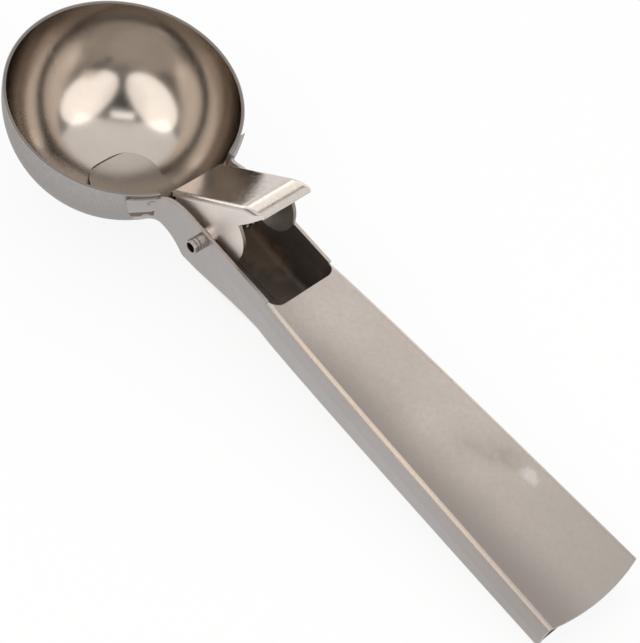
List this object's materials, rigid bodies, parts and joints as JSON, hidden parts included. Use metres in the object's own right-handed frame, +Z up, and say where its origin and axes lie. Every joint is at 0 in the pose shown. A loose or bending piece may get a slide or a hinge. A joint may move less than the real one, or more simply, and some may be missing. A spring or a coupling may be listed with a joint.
{
  "type": "ice cream scoop",
  "caption": "Lever ice cream scoop: half-ball bowl on a tapered hollow sheet handle, with a sprung thumb lever that swings a curved ejector blade through the bowl",
  "frame": {"origin": "middle of the hinge axis, which is the axis of the pivot tube", "axes": "+Z up as the scoop rests on a table, on the bowl and the handle's two rear corners; +X along the handle away from the bowl; +Y along the hinge axis. The bowl's rim is tipped 9.4 degrees towards the handle"},
  "size_m": [0.1966, 0.06, 0.0433],
  "materials": {
    "bowl_steel": "polished inside, fine vertical brush marks outside",
    "handle_steel": "satin",
    "lever_steel": "polished pad, satin cheeks",
    "blade_steel": "satin",
    "tube_steel": "turned",
    "spring_wire": "drawn wire"
  },
  "bodies": {
    "scoop_body": {"bowl": "bowl_steel", "handle": "handle_steel", "pivot_tube": "tube_steel", "return_spring": "spring_wire"},
    "lever": {"thumb_lever": "lever_steel", "ejector_blade": "blade_steel"}
  },
  "joints": [
    {"name": "lever_press", "type": "hinge", "parent": "scoop_body", "child": "lever", "pos_m": [0, 0, 0], "axis": [0, 1, 0], "range_deg": [0, 50], "stiffness_Nm_per_rad": 0.1, "springref_deg": -28.65, "deforming": ["return_spring"]}
  ]
}
